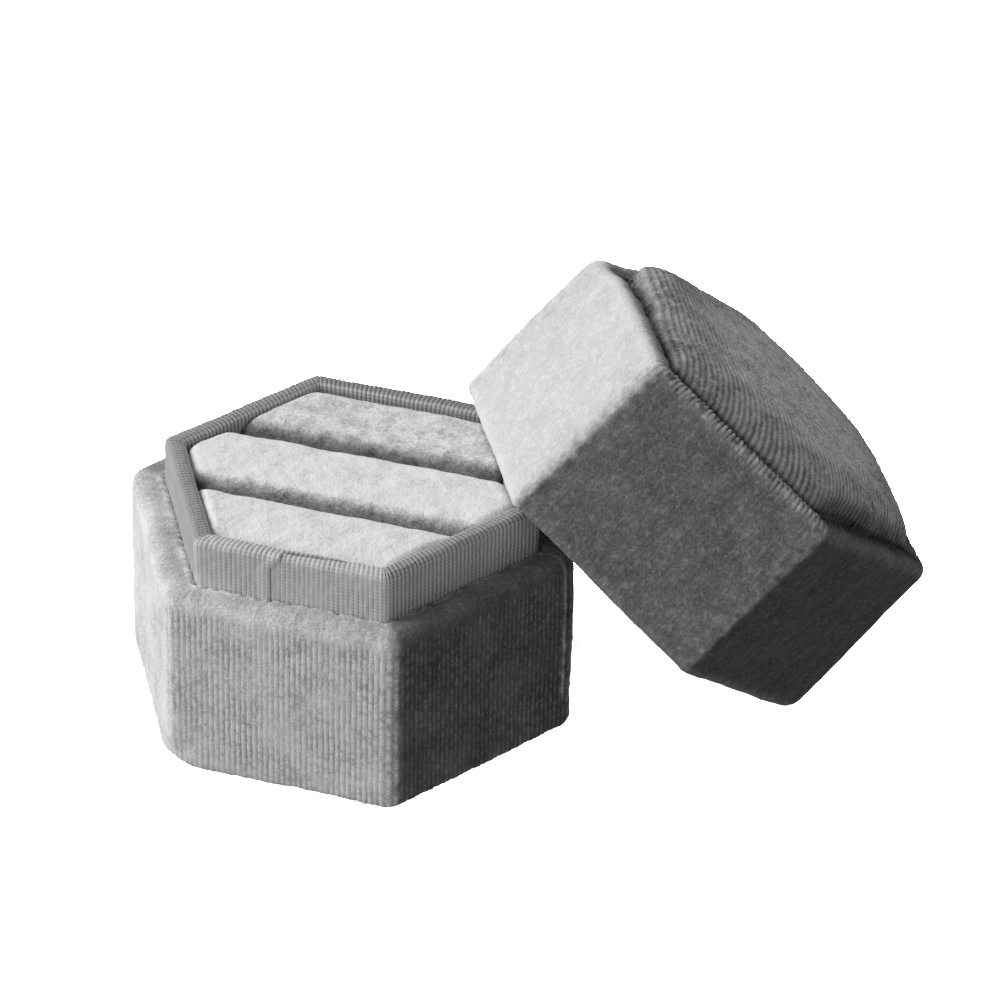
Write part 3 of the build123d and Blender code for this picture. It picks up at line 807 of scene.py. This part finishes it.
# boards, card, foam and linings that the frame brings

stock = {
    "greyboard": {"deep": (0.16, 0.15, 0.135), "bright": (0.36, 0.345, 0.32), "grain": (0.5, 0.22),
                  "rough": 0.9, "fleck": 1.4,
                  "nodes": ["base_wall_board", "lid_wall_board", "base_bottom_board", "lid_top_board"]},
    "card": {"deep": (0.55, 0.54, 0.51), "bright": (0.74, 0.73, 0.70), "grain": (0.4, 0.2), "rough": 0.75,
             "fleck": 2.0, "nodes": ["neck_board", "insert_platform", "lid_crown_card"]},
    "foam": {"deep": (0.42, 0.41, 0.37), "bright": (0.78, 0.77, 0.72), "grain": (0.6, 0.6), "rough": 0.95,
             "fleck": 0.8, "nodes": ["pad_foam"]},
    "satin lining": {"deep": (0.50, 0.50, 0.51), "bright": (0.70, 0.70, 0.71), "grain": (0.25, 1.6),
                     "rough": 0.38, "fleck": 5.0, "nodes": ["lid_lining", "lid_ceiling_lining"]},
    "underside cloth": {"deep": (0.035, 0.035, 0.037), "bright": (0.12, 0.12, 0.125), "grain": (0.35, 0.35),
                        "rough": 0.92, "fleck": 2.2, "nodes": ["base_bottom_cover"]},
}


def stockFinish(name, s):
    # fibres or pores of one size, flecks of another, over two close shades
    paper = Finish(name)
    here = paper.node("TexCoord", {}, out="Object")
    level, upright = 1000 / s["grain"][0], 1000 / s["grain"][1]
    stretched = paper.node("Mapping", {}, here, (0, 0, 0), (0, 0, 0), (level, level, upright))
    grain = paper.noise(1, 3.0, 0.6, vector=stretched)
    fleck = paper.noise(s["fleck"], 2.0, 0.5)
    share = (grain * 0.7 + fleck * 0.6 - 0.15).clamp()
    paper.look(Base_Color=paper.blend(share, s["deep"], s["bright"]), Roughness=s["rough"],
               Specular_IOR_Level=0.3)
    paper.bump(grain, 0.05, 0.6)
    return paper.material


for name, s in stock.items():
    finish = stockFinish(name, s)
    for nodeName, node in nodes.items():
        if any(nodeName.startswith(start) for start in s["nodes"]):
            if not node.material_slots:
                node.data.materials.append(finish)
            for slot in node.material_slots:
                slot.material = finish
print("boards and linings finished")

# camera and light

camera = {"azimuth": 17.67, "elevation": 31.70, "roll": 1.20, "distance": 613.73, "aside": 17.986,
          "above": 22.331, "lens": 180.0, "sensor": 36.0}      # degrees and millimetres


def makeCamera():
    # stands at distance back along (azimuth, elevation), moved aside and above, and turned by roll
    azimuth, elevation, roll = (np.radians(camera[key]) for key in ("azimuth", "elevation", "roll"))
    level = np.cos(elevation)
    back = np.array([np.sin(azimuth) * level, -np.cos(azimuth) * level, np.sin(elevation)])
    right = np.array([np.cos(azimuth), np.sin(azimuth), 0])
    up = np.cross(back, right)
    at = (right * camera["aside"] + up * camera["above"] + back * camera["distance"]) * mm
    rolledRight = np.cos(roll) * right + np.sin(roll) * up
    rolledUp = np.cos(roll) * up - np.sin(roll) * right
    lens = bpy.data.cameras.new("photo camera")
    lens.lens, lens.sensor_width, lens.clip_start, lens.clip_end = camera["lens"], camera["sensor"], 0.05, 20
    rig = bpy.data.objects.new("photo camera", lens)
    matrix = np.eye(4)
    matrix[:3, :3] = np.stack([rolledRight, rolledUp, back], 1)
    matrix[:3, 3] = at
    rig.matrix_world = Matrix(matrix.tolist())
    bpy.context.scene.collection.objects.link(rig)
    bpy.context.scene.camera = rig


makeCamera()

studio = {
    "ambient": 0.32, "key": 6.0, "fill": 1.2, "paper": 1900.0, "backdrop": 0.985,
    "floor": 0.9, "floorReach": 4, "floorLevel": -1e-4,      # metres; it lies a hair under the box's foot
}


def grey(level):
    # one level for red, green and blue
    return (level, level, level, 1)


def softbox(name, facing, distance, size, power):
    # a square light looking back at the object from one direction
    facing = unit(np.array(facing, float))
    lamp = bpy.data.lights.new(name, "AREA")
    lamp.shape, lamp.size, lamp.energy = "SQUARE", size, power
    rig = bpy.data.objects.new(name, lamp)
    side = unit(np.cross((0.05, 0.1, 1), facing))
    matrix = np.eye(4)
    matrix[:3, :3] = np.stack([side, np.cross(facing, side), facing], 1)
    matrix[:3, 3] = np.array([0.02, 0.01, 0.02]) + facing * distance
    rig.matrix_world = Matrix(matrix.tolist())
    bpy.context.scene.collection.objects.link(rig)
    return rig


softbox("window left", (-0.85, -0.10, 0.55), 0.9, 0.5, studio["key"])
softbox("fill front", (-0.45, -0.9, 0.35), 1.2, 0.8, studio["fill"])
overhead = softbox("paper light", (0.1, -0.3, 1.0), 1.6, 4.5, studio["paper"])

world = bpy.data.worlds.new("studio")
bpy.context.scene.world = world
world.use_nodes = True
tree = world.node_tree
plain = tree.nodes["Background"]
plain.inputs["Color"].default_value = grey(1)
plain.inputs["Strength"].default_value = studio["ambient"]
white = tree.nodes.new("ShaderNodeBackground")
white.inputs["Color"].default_value = grey(studio["backdrop"])
rays, mixer = tree.nodes.new("ShaderNodeLightPath"), tree.nodes.new("ShaderNodeMixShader")
tree.links.new(rays.outputs["Is Camera Ray"], mixer.inputs[0])
tree.links.new(plain.outputs[0], mixer.inputs[1])
tree.links.new(white.outputs[0], mixer.inputs[2])
tree.links.new(mixer.outputs[0], tree.nodes["World Output"].inputs[0])
bpy.context.scene.view_settings.view_transform = "Standard"


def makeFloor():
    # a plain pale square under the box, bright by a light of its own
    reach, level = studio["floorReach"], studio["floorLevel"]
    mesh = bpy.data.meshes.new("floor")
    corners = [(-reach, -reach, level), (reach, -reach, level), (reach, reach, level), (-reach, reach, level)]
    mesh.from_pydata(corners, [], [(0, 1, 2, 3)])
    floor = bpy.data.objects.new("floor", mesh)
    bpy.context.scene.collection.objects.link(floor)
    paper = Finish("pale floor")
    paper.look(Base_Color=grey(studio["floor"]), Roughness=0.9, Specular_IOR_Level=0.0)
    mesh.materials.append(paper.material)
    floor.visible_diffuse = floor.visible_glossy = False      # it lights nothing
    onlyFloor = bpy.data.collections.new("lit by the paper light")
    onlyFloor.objects.link(floor)
    overhead.light_linking.receiver_collection = onlyFloor


makeFloor()
print("camera, lights and floor ready")
